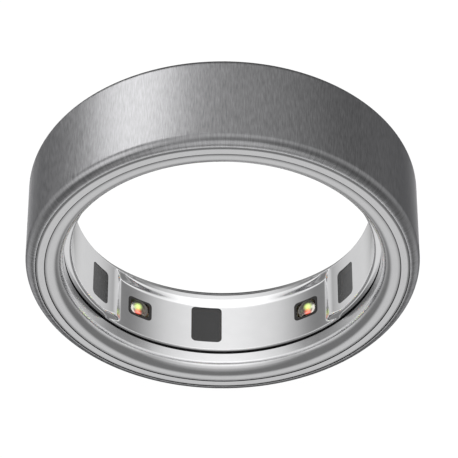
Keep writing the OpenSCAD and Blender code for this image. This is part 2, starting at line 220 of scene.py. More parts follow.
class RingColours(PropertyGroup):
    """The colours of the finishes that show."""
    band: colour_property("Band", "#7A7A7B", "Brushed titanium of the band")
    end_ring: colour_property("End rings", "#CDCDCE", "Polished titanium of the end rings")
    liner: colour_property("Liner", "#E4E4E5", "Polished metal of the liner")
    window: colour_property("Windows", "#6A6A6C", "Smoked polycarbonate over the sensors")
    lens: colour_property("Lenses", "#E8E4DA", "Clear resin over the emitters")
    frames: colour_property("Frames", "#2A2827", "Black resin round the emitters")
    # The sealant colour also paints the shade in the end rings' creases
    sealant: colour_property("Sealant", "#1B1B1C", "Dark bead in the seams")


class RingStage(PropertyGroup):
    """The camera and the light."""
    elevation: angle_property("Elevation", 49.68, "Height of the camera above the horizon")
    distance: length_property("Distance", 218 * MM, "Distance from the camera to its target")
    lens: FloatProperty(name="Lens", default=249.8, description="Focal length",
                        subtype="DISTANCE_CAMERA")
    sensor: FloatProperty(name="Sensor", default=36, description="Width of the camera's sensor",
                          subtype="DISTANCE_CAMERA")
    target_x: length_property("Target X", 0.43 * MM, "Where the camera looks, across the ring")
    target_y: length_property("Target Y", 0.026 * MM, "Where the camera looks, along the ring")
    target_z: length_property("Target Z", 0.14 * MM, "Where the camera looks, in height")
    floor_size: length_property("Floor", 6.0, "Width of the floor")
    band_light: FloatProperty(name="Band light", default=1.0,
                              description="Strength of the lights on the brushed band")


# Outlines and turned pieces

def at_angle(radius, y, angle):
    """A point on the ring: the angle is from the bottom and grows towards +X."""
    return Vector((radius * math.sin(angle), y, -radius * math.cos(angle)))


class Outline:
    """A closed outline of radius and axial place, drawn at the bottom of the ring."""

    def __init__(self, radius, y):
        self.mesh = bmesh.new()
        self.first = self.mesh.verts.new(at_angle(radius, y, 0))
        self.last = self.first

    def line_to(self, radius, y, steps=1):
        """Draws a straight line to a radius and an axial place."""
        start, end = self.last.co.copy(), at_angle(radius, y, 0)
        for step in range(steps):
            made = bmesh.ops.extrude_vert_indiv(self.mesh, verts=[self.last])
            self.last = made["verts"][0]
            self.last.co = start.lerp(end, (step + 1) / steps)

    def arc_to(self, centre, end, steps=ARC_STEPS):
        """Follows the arc about centre that leads to end, the short way round."""
        middle, goal = at_angle(*centre, 0), at_angle(*end, 0)
        turn = angle_about_x(goal - middle) - angle_about_x(self.last.co - middle)
        turn = (turn + math.pi) % (2 * math.pi) - math.pi
        made = bmesh.ops.spin(self.mesh, geom=[self.last], cent=middle, axis=(1, 0, 0),
                              angle=turn, steps=steps)
        self.last = made["geom_last"][0]
        self.last.co = goal

    def close(self):
        """Joins the last point to the first and gives the mesh."""
        bmesh.ops.contextual_create(self.mesh, geom=[self.last, self.first])
        return self.mesh


def angle_about_x(direction):
    """The angle of a direction in the plane of the outline."""
    return math.atan2(direction.z, direction.y)


def turn_outline(mesh, start=0, angle=2 * math.pi, steps=TURN_STEPS, merge=True):
    """Spins an outline about the ring's axis, towards +X, and as a rule right round it."""
    profile = mesh.verts[:] + mesh.edges[:]
    bmesh.ops.rotate(mesh, verts=mesh.verts, cent=(0, 0, 0),
                     matrix=Matrix.Rotation(-start, 3, "Y"))
    made = bmesh.ops.spin(mesh, geom=profile, axis=(0, -1, 0), angle=angle, steps=steps,
                          use_merge=merge)
    return made["geom_last"]


def finish_piece(name, mesh, material, replaced):
    """Makes a smooth, sharp-edged object of a bmesh and ties it to the frame."""
    bmesh.ops.recalc_face_normals(mesh, faces=mesh.faces)
    for face in mesh.faces:
        face.smooth = True
    for edge in mesh.edges:
        edge.smooth = edge.calc_face_angle(0) < SHARP_ANGLE
    data = bpy.data.meshes.new(name)
    mesh.to_mesh(data)
    mesh.free()
    data.materials.append(material)
    piece = bpy.data.objects.new(name, data)
    bpy.context.scene.collection.objects.link(piece)
    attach(piece, BODY)
    if replaced:
        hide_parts(*replaced)
    return piece


def band_outline(sizes):
    """The band: two rounded edges, and a rebate at each end."""
    edge_y = sizes.half_width - sizes.edge_round * math.sin(sizes.edge_angle)
    edge_r = sizes.radius - sizes.edge_round
    seam_r = edge_r + sizes.edge_round * math.cos(sizes.edge_angle)
    rebate_r = seam_r - sizes.lip
    shoulder = sizes.half_width - sizes.rebate
    cavity_r = sizes.radius - sizes.wall
    outline = Outline(sizes.radius, -edge_y)
    outline.line_to(sizes.radius, edge_y)
    outline.arc_to((edge_r, edge_y), (seam_r, sizes.half_width))
    outline.line_to(rebate_r, sizes.half_width)
    outline.line_to(rebate_r, shoulder)
    outline.line_to(cavity_r, shoulder)
    outline.line_to(cavity_r, -shoulder)
    outline.line_to(rebate_r, -shoulder)
    outline.line_to(rebate_r, -sizes.half_width)
    outline.line_to(seam_r, -sizes.half_width)
    outline.arc_to((edge_r, -edge_y), (sizes.radius, -edge_y))
    return outline.close()


def end_ring_outline(sizes, side):
    """An end ring: the outer face with its round corner, the crease and the rolled nose."""
    nose_r = sizes.crease_radius + sizes.nose_round * math.cos(sizes.nose_angle)
    nose_y = sizes.nose_edge - sizes.nose_round * math.sin(sizes.nose_angle)
    roll_r = nose_r - sizes.nose_round * math.cos(sizes.lip_angle)
    roll_y = nose_y + sizes.nose_round * math.sin(sizes.lip_angle)
    lip_y = sizes.front_lip if side < 0 else sizes.rear_lip
    lip_r = roll_r - (roll_y - lip_y) * math.tan(sizes.lip_angle)
    step_r = reach("front_seal") + (sizes.rear_room if side > 0 else 0)
    corner_y = sizes.face - sizes.corner
    corner_r = sizes.radius - sizes.corner * math.sin(sizes.corner_angle)
    face_r = sizes.crease_radius + sizes.crease_width
    outline = Outline(lip_r, side * lip_y)
    outline.line_to(step_r, side * lip_y)
    outline.line_to(step_r, side * sizes.seat)
    outline.line_to(sizes.radius, side * sizes.seat)
    outline.line_to(sizes.radius, side * (corner_y + sizes.corner * math.cos(sizes.corner_angle)))
    outline.arc_to((corner_r, side * corner_y), (corner_r, side * sizes.face), CORNER_STEPS)
    outline.line_to(face_r, side * sizes.face, FACE_STEPS)
    outline.line_to(face_r, side * (sizes.face - sizes.crease_depth))
    outline.line_to(sizes.crease_radius, side * (sizes.face - sizes.crease_depth))
    outline.line_to(sizes.crease_radius, side * sizes.nose_edge)
    outline.arc_to((nose_r, side * nose_y), (roll_r, side * roll_y), ROLL_STEPS)
    return outline.close()


def crease_shade_outline(sizes, side):
    """The dark line at the foot of the crease: painted shade, laid there as a thin dark bead."""
    floor_y = sizes.face - sizes.crease_depth
    top_y = floor_y + CREASE_SHADE_FILL * sizes.crease_depth
    outline = Outline(sizes.crease_radius, side * floor_y)
    outline.line_to(sizes.crease_radius + sizes.crease_width, side * floor_y)
    outline.line_to(sizes.crease_radius + sizes.crease_width, side * top_y)
    outline.line_to(sizes.crease_radius, side * top_y)
    return outline.close()


# The liner

def liner_outline(sizes, front, rear):
    """The liner: a tube with a flange at each end, a round front edge and a slanted rear one."""
    outer = sizes.bore + sizes.wall
    flange_r = reach("inner_liner")
    outline = Outline(sizes.bore + sizes.front_round, front)
    outline.arc_to((sizes.bore + sizes.front_round, front + sizes.front_round),
                   (sizes.bore, front + sizes.front_round), EDGE_STEPS)
    lean_y = rear - sizes.lean * math.cos(sizes.lean_angle)
    round_y = lean_y - sizes.lean_round * math.sin(sizes.lean_angle)
    lean_r = sizes.bore + sizes.lean_round * (1 - math.cos(sizes.lean_angle))
    outline.line_to(sizes.bore, round_y, BORE_STEPS)
    outline.arc_to((sizes.bore + sizes.lean_round, round_y), (lean_r, lean_y), EDGE_STEPS)
    outline.line_to(lean_r + sizes.lean * math.sin(sizes.lean_angle), rear, LEAN_STEPS)
    outline.line_to(flange_r, rear)
    outline.line_to(flange_r, rear - sizes.flange)
    outline.line_to(outer, rear - sizes.flange)
    outline.line_to(outer, front + sizes.flange)
    outline.line_to(flange_r, front + sizes.flange)
    outline.line_to(flange_r, front)
    return outline.close()


def soft_min(a, b, softness):
    """The smaller of two values, with a round blend where they are near each other."""
    blend = max(softness - abs(a - b), 0) / softness
    return min(a, b) - blend * blend * softness / 4


def recess_depth(sizes, front, rear, angle, y):
    """How deep the recess is at a place: 0 on the plateaus and the strip, full on the floor."""
    side_width = math.sqrt(sizes.side_round ** 2 - (sizes.side_round - sizes.depth) ** 2)
    along = sizes.bore * (sizes.side_angle - abs(angle))
    into_side = along / side_width
    ramp_top = rear - sizes.rear_strip
    middle = math.sqrt(max(1 - (angle / sizes.ramp_angle) ** 2, 0))
    into_ramp = (ramp_top - y) / (sizes.ramp_width + middle * sizes.ramp_spread)
    toe_along = sizes.bore * (sizes.toe_angle - abs(angle))
    toe_line = front + toe_along * math.tan(sizes.toe_slant) + sizes.toe_width
    into_toe = (toe_line - y) * math.cos(sizes.toe_slant) / sizes.toe_width
    softness = sizes.corner / side_width
    share = -soft_min(-into_side, -into_toe, 2 * softness)
    share = min(max(soft_min(share, 1, FLOOR_BLEND), 0), 1)
    fall = share * side_width
    sunk = sizes.side_round - math.sqrt(sizes.side_round ** 2 - fall ** 2)
    climb = min(max(into_ramp, 0), 1)
    climb = climb * climb * (3 - 2 * climb) * sizes.depth
    climb += (sizes.depth - climb) * middle * sizes.ramp_low
    return max(soft_min(sunk, climb, sizes.ramp_blend), 0)


def sink_recess(mesh, sizes, front, rear):
    """Pushes the liner's inner face out to the recess's floor, plateaus' sides and ramp."""
    for vert in mesh.verts:
        radius = math.hypot(vert.co.x, vert.co.z)
        if radius > sizes.bore + sizes.wall * INNER_SHARE:
            continue
        angle = math.atan2(vert.co.x, -vert.co.z)
        depth = recess_depth(sizes, front, rear, angle, vert.co.y)
        if depth <= 0:
            continue
        lead = max(sizes.floor_round - (vert.co.y - front), 0)
        edge = sizes.floor_round - math.sqrt(sizes.floor_round ** 2 - lead ** 2)
        wanted = max(radius, sizes.bore + depth + edge * depth / sizes.depth)
        scale = wanted / radius
        vert.co.x *= scale
        vert.co.z *= scale


def rounded_block(width, length, corner, low, high):
    """A radial prism with round corners, which stands at the bottom of the ring."""
    block = bmesh.new()
    bmesh.ops.create_grid(block, x_segments=1, y_segments=1, size=0.5)
    bmesh.ops.scale(block, vec=(width, length, 1), verts=block.verts)
    bmesh.ops.bevel(block, geom=block.verts[:], offset=corner, segments=WINDOW_STEPS,
                    profile=0.5, affect="VERTICES", material=-1)
    bmesh.ops.translate(block, vec=(0, 0, -high), verts=block.verts)
    made = bmesh.ops.extrude_face_region(block, geom=block.faces[:])
    raised = [part for part in made["geom"] if isinstance(part, bmesh.types.BMVert)]
    bmesh.ops.translate(block, vec=(0, 0, high - low), verts=raised)
    bmesh.ops.recalc_face_normals(block, faces=block.faces)
    return block


def stand_at(mesh, angle, place):
    """Moves a piece from the bottom of the ring to an angle and an axial place."""
    bmesh.ops.translate(mesh, vec=(0, place, 0), verts=mesh.verts)
    bmesh.ops.rotate(mesh, verts=mesh.verts, cent=(0, 0, 0), matrix=Matrix.Rotation(-angle, 3, "Y"))


def window_places(windows):
    """Angle, axial place, width and length of each window."""
    places = [(windows.middle_angle, windows.middle_place, windows.middle_width,
               windows.middle_length)]
    for side in SIDES.values():
        places.append((side * windows.side_angle, windows.side_place, windows.side_width,
                       windows.side_length))
        places.append((side * windows.frame_angle, windows.frame_place, windows.frame_width,
                       windows.frame_length))
    return places


def cut_windows(piece, liner, windows):
    """Cuts the window holes through the liner."""
    cutters = bmesh.new()
    for angle, place, width, length in window_places(windows):
        block = rounded_block(width + 2 * windows.gap, length + 2 * windows.gap,
                              windows.corner + windows.gap, liner.bore - liner.wall,
                              liner.bore + 2 * liner.wall)
        stand_at(block, angle, place)
        part = bpy.data.meshes.new("cutter_part")
        block.to_mesh(part)
        block.free()
        cutters.from_mesh(part)
        bpy.data.meshes.remove(part)
    data = bpy.data.meshes.new("window_cutter")
    cutters.to_mesh(data)
    cutters.free()
    cutter = bpy.data.objects.new("window_cutter", data)
    bpy.context.scene.collection.objects.link(cutter)
    cut = piece.modifiers.new("windows", "BOOLEAN")
    cut.operation = "DIFFERENCE"
    cut.solver = "EXACT"
    cut.object = cutter
    bpy.context.view_layer.objects.active = piece
    bpy.ops.object.modifier_apply(modifier=cut.name)
    bpy.data.objects.remove(cutter)
    bpy.data.meshes.remove(data)


# Materials

def add_node(tree, kind, inputs=None, **settings):
    """Adds a node, sets it up, and fills its inputs with values or with other nodes' outputs."""
    node = tree.nodes.new(kind)
    for name, value in settings.items():
        setattr(node, name, value)
    for socket, value in (inputs or {}).items():
        if isinstance(value, bpy.types.NodeSocket):
            tree.links.new(value, node.inputs[socket])
        else:
            node.inputs[socket].default_value = value
    return node


def new_material(name, shader_values):
    """A material whose Principled shader has these constant values."""
    material = bpy.data.materials.new(name)
    material.use_nodes = True
    tree = material.node_tree
    tree.nodes.clear()
    shader = add_node(tree, "ShaderNodeBsdfPrincipled", shader_values)
    add_node(tree, "ShaderNodeOutputMaterial", {"Surface": shader.outputs["BSDF"]})
    return material, tree, shader


# The part of a noise's range that nearly all of it lies in, and how rough its patches are
NOISE_RANGE = (0.25, 0.75)
NOISE_ROUGHNESS = 0.55


def vary(tree, shader, colour, size, tone, roughness, bump=0.0, relief=0.0, place=None,
         detail=2.0):
    """Lets patches about as wide as size move a finish's tone, roughness and perhaps height."""
    if place is None:
        place = add_node(tree, "ShaderNodeTexCoord").outputs["Object"]
    patches = add_node(tree, "ShaderNodeTexNoise",
                       {"Vector": place, "Scale": 1 / size, "Detail": detail,
                        "Roughness": NOISE_ROUGHNESS}).outputs["Fac"]
    light, rough = (add_node(tree, "ShaderNodeMapRange",
                             {"Value": patches, "From Min": NOISE_RANGE[0],
                              "From Max": NOISE_RANGE[1], "To Min": low,
                              "To Max": high}).outputs["Result"]
                    for low, high in ((1 - tone, 1 + tone), roughness))
    grey = add_node(tree, "ShaderNodeCombineColor", {"Red": light, "Green": light, "Blue": light})
    toned = add_node(tree, "ShaderNodeMix",
                     {"Factor": 1.0, "A": colour, "B": grey.outputs["Color"]}, data_type="RGBA",
                     blend_type="MULTIPLY")
    tree.links.new(toned.outputs["Result"], shader.inputs["Base Color"])
    tree.links.new(rough, shader.inputs["Roughness"])
    if bump:
        height = add_node(tree, "ShaderNodeBump", {"Height": patches, "Strength": bump,
                                                   "Distance": relief})
        tree.links.new(height.outputs["Normal"], shader.inputs["Normal"])


# How bright brushed metal turns at a glancing angle, and how far its shine spreads round the band
EDGE_TINT = "#A0A0A2"
BRUSHED_SPREAD = 0.6

# Brushing leaves marks of about 0.02 mm; they are drawn wider, so that they show
STREAK_WIDTH = 0.075 * MM
STREAK_LENGTH = 9


def brushed_titanium(colours):
    # Titanium brushed along the ring's axis: fine streaks, and light that spreads round the band
    material, tree, shader = new_material("brushed_titanium", {
        "Metallic": 1.0, "Anisotropic": BRUSHED_SPREAD, "Specular Tint": linear(EDGE_TINT)})
    own = add_node(tree, "ShaderNodeTexCoord").outputs["Object"]
    round_ring = add_node(tree, "ShaderNodeVectorMath", {0: own, 1: (1, 0, 1)},
                          operation="MULTIPLY")
    direction = add_node(tree, "ShaderNodeVectorMath", {0: round_ring.outputs[0]},
                         operation="NORMALIZE")
    on_band = add_node(tree, "ShaderNodeVectorMath",
                       {0: direction.outputs[0], "Scale": reach("outer_band")}, operation="SCALE")
    along = add_node(tree, "ShaderNodeVectorMath", {0: own, 1: (0, 1 / STREAK_LENGTH, 0)},
                     operation="MULTIPLY")
    place = add_node(tree, "ShaderNodeVectorMath", {0: on_band.outputs[0], 1: along.outputs[0]},
                     operation="ADD").outputs[0]
    vary(tree, shader, colours.band, STREAK_WIDTH, tone=0.26, roughness=(0.34, 0.42), bump=0.25,
         relief=0.004 * MM, place=place, detail=3.0)
    tangent = add_node(tree, "ShaderNodeTangent", direction_type="RADIAL", axis="Y")
    tree.links.new(tangent.outputs["Tangent"], shader.inputs["Tangent"])
    return material


def polished_titanium(colours):
    # Titanium polished on a wheel: soft mirror images with a faint unevenness
    material, tree, shader = new_material("polished_titanium", {"Metallic": 1.0})
    vary(tree, shader, colours.end_ring, 0.6 * MM, tone=0.02, roughness=(0.16, 0.2))
    return material


def polished_liner(colours):
    # Metal liner with a bright tumbled polish, smooth against the skin
    material, tree, shader = new_material("polished_liner", {"Metallic": 1.0})
    vary(tree, shader, colours.liner, 0.9 * MM, tone=0.015, roughness=(0.09, 0.12))
    return material


def dark_sealant(colours):
    # Silicone bead: dark and dull, with a skin of small bumps
    material, tree, shader = new_material("dark_sealant", {"IOR": 1.41})
    vary(tree, shader, colours.sealant, 0.08 * MM, tone=0.15, roughness=(0.45, 0.6), bump=0.2,
         relief=0.01 * MM)
    return material


def smoked_window(colours):
    # Smoked polycarbonate: a hard gloss over a dark, slightly clear body
    material, tree, shader = new_material("smoked_window", {"IOR": 1.58,
                                                            "Transmission Weight": 1.0})
    vary(tree, shader, colours.window, 0.4 * MM, tone=0.03, roughness=(0.05, 0.08))
    return material


# Painted glows in the lenses, which stand in for the lit dies' light spread in the resin: how strong,
# how far from the ring's axis, and then the angle in degrees, axial place, radius and colour of each
PAINTED_GLOW_STRENGTH = 1.6
PAINTED_GLOW_REACH = 10.4 * MM
PAINTED_GLOWS = ((35.2, 0.18 * MM, 0.42 * MM, "#C9E27A"), (35.0, -0.28 * MM, 0.42 * MM, "#F2553A"))


def clear_resin(colours):
    # Cast epoxy: clear and glossy, with faint waves from curing
    material, tree, shader = new_material("clear_resin", {
        "IOR": 1.52, "Transmission Weight": 1.0, "Emission Strength": PAINTED_GLOW_STRENGTH})
    vary(tree, shader, colours.lens, 0.5 * MM, tone=0.02, roughness=(0.02, 0.06))
    # Painted glow: emission spots in the resin stand in for the dies' light that spreads in it; both
    # sides are alike, so X is made positive
    own = add_node(tree, "ShaderNodeTexCoord").outputs["Object"]
    folded = add_node(tree, "ShaderNodeVectorMath", {0: own}, operation="ABSOLUTE").outputs[0]
    across = add_node(tree, "ShaderNodeVectorMath", {0: folded, 1: (1, 0, -1)},
                      operation="MULTIPLY")
    along = add_node(tree, "ShaderNodeVectorMath", {0: own, 1: (0, 1, 0)}, operation="MULTIPLY")
    place = add_node(tree, "ShaderNodeVectorMath", {0: across.outputs[0], 1: along.outputs[0]},
                     operation="ADD").outputs[0]
    glow = (0, 0, 0)
    for angle, y, radius, colour in PAINTED_GLOWS:
        centre = at_angle(PAINTED_GLOW_REACH, y, math.radians(angle))
        away = add_node(tree, "ShaderNodeVectorMath", {0: place, 1: centre}, operation="DISTANCE")
        spot = add_node(tree, "ShaderNodeMapRange",
                        {"Value": away.outputs["Value"], "From Min": radius, "From Max": 0.0,
                         "To Min": 0.0, "To Max": 1.0}, interpolation_type="SMOOTHSTEP")
        tint = add_node(tree, "ShaderNodeVectorMath",
                        {0: linear(colour)[:3], "Scale": spot.outputs["Result"]},
                        operation="SCALE")
        glow = add_node(tree, "ShaderNodeVectorMath", {0: glow, 1: tint.outputs[0]},
                        operation="ADD").outputs[0]
    tree.links.new(glow, shader.inputs["Emission Color"])
    return material


def black_resin(colours):
    # Moulded black epoxy: satin, with a fine mould grain
    material, tree, shader = new_material("black_resin", {"IOR": 1.5})
    vary(tree, shader, colours.frames, 0.06 * MM, tone=0.1, roughness=(0.3, 0.42), bump=0.15,
         relief=0.004 * MM)
    return material


# A hidden piece's grain: how far its tone moves, its bump, and its width over its height
INNER_TONE = 0.08
INNER_BUMP = 0.15
INNER_SLOPE = 20


def dull_finish(name, hex_colour, roughness, size, metallic):
    """A hidden piece's finish: one colour with its own grain."""
    material, tree, shader = new_material(name, {"Metallic": metallic})
    vary(tree, shader, linear(hex_colour), size, INNER_TONE, roughness, INNER_BUMP,
         size / INNER_SLOPE)
    return material


# How strongly the lit dies glow under their lenses
DIE_STRENGTH = 8.0


def glowing_die(name, hex_colour):
    """An emitter that is lit: a small even glow."""
    material, tree, shader = new_material(name, {"Emission Color": linear(hex_colour),
                                                 "Emission Strength": DIE_STRENGTH})
    vary(tree, shader, linear(hex_colour), 0.05 * MM, tone=0.1, roughness=(0.35, 0.45))
    return material


# Finish of each kind of hidden piece: colour, roughness range, size of its grain and metallic
INNER_FINISHES = {
    # Polished silicon under a thin oxide: dark blue grey and nearly a mirror
    "silicon": ("#3A3D49", (0.12, 0.2), 0.3 * MM, 0.0),
    # Glass fibre board with a white solder mask: satin, with the weave just felt
    "board_white": ("#77756F", (0.45, 0.6), 0.1 * MM, 0.0),
    # Gallium arsenide die: dark plum, and smooth from sawing and etching
    "infrared_die": ("#4A2F40", (0.3, 0.4), 0.05 * MM, 0.0),
    # Moulded epoxy chip housing: matt black with a sandy mould grain
    "chip_package": ("#2B2B2D", (0.5, 0.65), 0.08 * MM, 0.0),
    # Rolled polyimide film: amber with a soft shine
    "polyimide": ("#B26A1E", (0.3, 0.42), 0.25 * MM, 0.0),
    # Rolled stainless steel: grey with a fine rolling grain
    "stiffener_steel": ("#A2A2A6", (0.25, 0.35), 0.15 * MM, 1.0),
    # Nickel-plated crystal can: pale and bright
    "crystal_can": ("#C8C7C0", (0.2, 0.3), 0.2 * MM, 1.0),
    # Fired ceramic with plated ends: tan and slightly rough
    "ceramic_capacitor": ("#A98A66", (0.4, 0.55), 0.06 * MM, 0.0),
    # Fired white ceramic: pale and close-grained
    "ceramic_antenna": ("#DEDDD4", (0.35, 0.5), 0.1 * MM, 0.0),
    # Enamelled copper wire: red brown and shiny
    "copper_winding": ("#B9703C", (0.25, 0.35), 0.06 * MM, 1.0),
    # Sintered ferrite: near black and dull
    "ferrite": ("#39393B", (0.5, 0.65), 0.1 * MM, 0.0),
    # Cell pouch of laminated aluminium foil: silver with soft creases
    "cell_foil": ("#A4A6AB", (0.3, 0.45), 0.5 * MM, 1.0),
    # Rolled nickel strip: warm grey and bright
    "nickel_strip": ("#C2BCAE", (0.25, 0.35), 0.15 * MM, 1.0),
}

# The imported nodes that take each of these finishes
INNER_NODES = {
    "silicon": ["photodiode_left", "photodiode_middle", "photodiode_right", "temperature_sensor"],
    "board_white": ["led_board_left", "led_board_right"],
    "infrared_die": ["infrared_emitters"],
    "chip_package": ["processor", "memory_chip", "power_chip", "motion_sensor", "sensor_driver",
                     "protection_chip"],
    "polyimide": ["flex_circuit"],
    "stiffener_steel": ["flex_stiffener"],
    "crystal_can": ["clock_crystal"],
    "ceramic_capacitor": ["capacitors"],
    "ceramic_antenna": ["antenna"],
    "copper_winding": ["charging_coil"],
    "ferrite": ["ferrite_sheet"],
    "cell_foil": ["battery_cell"],
    "nickel_strip": ["battery_tabs"],
}


def merged_copy(node):
    """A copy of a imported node, with its loose triangles joined."""
    mesh = bmesh.new()
    mesh.from_mesh(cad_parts[node].data)
    bmesh.ops.remove_doubles(mesh, verts=mesh.verts, dist=NODE_MERGE)
    return mesh


def paint_node(node, material):
    """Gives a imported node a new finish."""
    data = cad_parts[node].data
    data.materials.clear()
    data.materials.append(material)


# Operators

class RING_OT_outer_band(Operator):
    """Turns the brushed band"""
    bl_idname = "ring.outer_band"
    bl_label = "Outer band"

    def execute(self, context):
        mesh = band_outline(context.scene.ring_band)
        turn_outline(mesh)
        finish_piece("brushed_band", mesh, brushed_titanium(context.scene.ring_colours),
                     ["outer_band"])
        return {"FINISHED"}


class RING_OT_end_rings(Operator):
    """Turns the two polished end rings, and lays a dark bead of painted shade in each crease"""
    bl_idname = "ring.end_rings"
    bl_label = "End rings"

    def execute(self, context):
        scene = context.scene
        material = polished_titanium(scene.ring_colours)
        sealant = dark_sealant(scene.ring_colours)
        for name, side in RIMS.items():
            mesh = end_ring_outline(scene.ring_ends, side)
            turn_outline(mesh)
            finish_piece(name + "_rolled_ring", mesh, material,
                         [name + "_end_ring"])
            # A dark bead in the crease paints the shade that falls there
            mesh = crease_shade_outline(scene.ring_ends, side)
            turn_outline(mesh)
            finish_piece(name + "_crease_shade_line", mesh, sealant, [])
        return {"FINISHED"}


class RING_OT_liner(Operator):
    """Turns the liner, sinks its recess and cuts its windows"""
    bl_idname = "ring.liner"
    bl_label = "Liner"

    def execute(self, context):
        scene = context.scene
        front, rear = (corner.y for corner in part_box("inner_liner"))
        mesh = liner_outline(scene.ring_liner, front, rear)
        last = turn_outline(mesh, -RECESS_HALF, 2 * RECESS_HALF, RECESS_STEPS, merge=False)
        bmesh.ops.spin(mesh, geom=last, axis=(0, -1, 0), angle=2 * math.pi - 2 * RECESS_HALF,
                       steps=REST_STEPS)
        bmesh.ops.remove_doubles(mesh, verts=mesh.verts, dist=SEAM_MERGE)
        sink_recess(mesh, scene.ring_liner, front, rear)
        piece = finish_piece("polished_liner", mesh, polished_liner(scene.ring_colours),
                             ["inner_liner"])
        cut_windows(piece, scene.ring_liner, scene.ring_windows)
        return {"FINISHED"}


class RING_OT_seals(Operator):
    """Gives the seams' beads their dark sealant"""
    bl_idname = "ring.seals"
    bl_label = "Seals"

    def execute(self, context):
        material = dark_sealant(context.scene.ring_colours)
        for node in ("front_seal", "rear_seal"):
            paint_node(node, material)
        return {"FINISHED"}


class RING_OT_windows(Operator):
    """Makes the smoked windows over the light sensors"""
    bl_idname = "ring.windows"
    bl_label = "Windows"

    def execute(self, context):
        scene = context.scene
        material = smoked_window(scene.ring_colours)
        for place in ("left", "middle", "right"):
            node = "photodiode_window_" + place
            finish_piece("smoked_window_" + place, merged_copy(node), material,
                         [node])
        return {"FINISHED"}


class RING_OT_emitters(Operator):
    """Makes the domed lenses, their black frames and the lit emitters"""
    bl_idname = "ring.emitters"
    bl_label = "Emitters"

    def execute(self, context):
        colours = context.scene.ring_colours
        resin, black = clear_resin(colours), black_resin(colours)
        for side in SIDES:
            for node, name, material, slot in (
                    ("led_window_", "domed_lens_", resin, "clear_resin"),
                    ("light_barrier_", "emitter_frame_", black, "black_resin")):
                finish_piece(name + side, merged_copy(node + side), material,
                             [node + side])
        paint_node("green_emitters", glowing_die("green_die", "#B9E08A"))
        paint_node("red_emitters", glowing_die("red_die", "#F0604A"))
        return {"FINISHED"}


class RING_OT_inside(Operator):
    """Finishes the circuit, the sensors and the power pieces inside the ring"""
    bl_idname = "ring.inside"
    bl_label = "Inside"

    def execute(self, context):
        for name, (colour, roughness, size, metallic) in INNER_FINISHES.items():
            material = dull_finish(name, colour, roughness, size, metallic)
            for node in INNER_NODES[name]:
                paint_node(node, material)
        return {"FINISHED"}


# Light from everywhere, and the soft lights and black flags in it: azimuth, elevation, half
# angles of the core and the edge, all in degrees, and strength, which is below 0 for a flag
AMBIENT = 0.25
SOFT_LIGHTS = (
    (180, 55, 8, 60, 0.7),
    (180, 84, 12, 42, 0.25),
    (0, 66, 8, 50, 0.4),
    (95, 10, 8, 35, 0.45),
    (-95, 10, 8, 35, 0.45),
    (0, -44, 12, 36, 0.6),
    (140, -31, 10, 40, 0.5),
    (-140, -31, 10, 40, 0.5),
    (180, -33, 8, 32, -0.3),
    (180, -72, 5, 24, -0.5),
)

# A hoop of light round the ring's axis: how far along the axis, from -1 at the front to 1 at
# the back, it starts, is full, begins to fade and ends
HOOP = (-0.35, 0.1, 0.38, 0.56)
HOOP_STRENGTH = 0.45

# Lights that only the brushed band takes: azimuth, elevation, width and strength
BAND_LIGHTS = {
    "band_key": (-140, 27, 100 * MM, 5.0),
    "band_brow": (0, 18, 150 * MM, 2.2),
    "band_cheek": (-72, 34, 120 * MM, 3.2),
    "band_left": (-80, -46, 110 * MM, 1.8),
    "band_right": (80, -46, 110 * MM, 1.6),
    "band_front": (0, -38, 110 * MM, 2.5),
    "band_back": (180, -46, 150 * MM, 2.6),
}
BAND_LIGHT_DISTANCE = 160 * MM

# A lamp in the finger hole that faces down, and that only the end rings take
HOLE_LAMP_PLACE = Vector((0, -2 * MM, -2 * MM))
HOLE_LAMP_WIDTH = 18 * MM
HOLE_LAMP_STRENGTH = 0.25

# The floor's card, and how far it is lit up to look as pale as paper
CARD_GREY = "#3A3A3A"
CARD_GLOW = 0.98

# The nearest and the farthest distance that the camera sees
CAMERA_REACH = (10 * MM, 10.0)


def towards(azimuth, elevation):
    """The direction of an azimuth, from the front towards +X, and an elevation, in degrees."""
    turn, lift = math.radians(azimuth), math.radians(elevation)
    return Vector((math.sin(turn) * math.cos(lift), -math.cos(turn) * math.cos(lift),
                   math.sin(lift)))


def soft_sky(scene):
    """Fills the world with wide, soft lights round the ring."""
    world = bpy.data.worlds.new("soft_studio")
    scene.world = world
    world.use_nodes = True
    tree = world.node_tree
    tree.nodes.clear()
    direction = add_node(tree, "ShaderNodeTexCoord").outputs["Generated"]
    total = AMBIENT
    for azimuth, elevation, core, edge, strength in SOFT_LIGHTS:
        near = add_node(tree, "ShaderNodeVectorMath",
                        {0: direction, 1: towards(azimuth, elevation)}, operation="DOT_PRODUCT")
        glow = add_node(tree, "ShaderNodeMapRange",
                        {"Value": near.outputs["Value"], "From Min": math.cos(math.radians(edge)),
                         "From Max": math.cos(math.radians(core)), "To Min": 0.0,
                         "To Max": strength}, interpolation_type="SMOOTHSTEP")
        total = add_node(tree, "ShaderNodeMath", {0: glow.outputs["Result"], 1: total},
                         operation="ADD").outputs[0]
    along = add_node(tree, "ShaderNodeSeparateXYZ", {0: direction}).outputs["Y"]
    start, full, fade, end = HOOP
    rise = add_node(tree, "ShaderNodeMapRange",
                    {"Value": along, "From Min": start, "From Max": full, "To Min": 0.0,
                     "To Max": HOOP_STRENGTH}, interpolation_type="SMOOTHSTEP")
    fall = add_node(tree, "ShaderNodeMapRange",
                    {"Value": along, "From Min": fade, "From Max": end, "To Min": 1.0,
                     "To Max": 0.0}, interpolation_type="SMOOTHSTEP")
    hoop = add_node(tree, "ShaderNodeMath", {0: rise.outputs["Result"], 1: fall.outputs["Result"]},
                    operation="MULTIPLY").outputs[0]
    total = add_node(tree, "ShaderNodeMath", {0: hoop, 1: total}, operation="ADD").outputs[0]
    background = add_node(tree, "ShaderNodeBackground", {"Color": (1, 1, 1, 1), "Strength": total})
    add_node(tree, "ShaderNodeOutputWorld", {"Surface": background.outputs["Background"]})


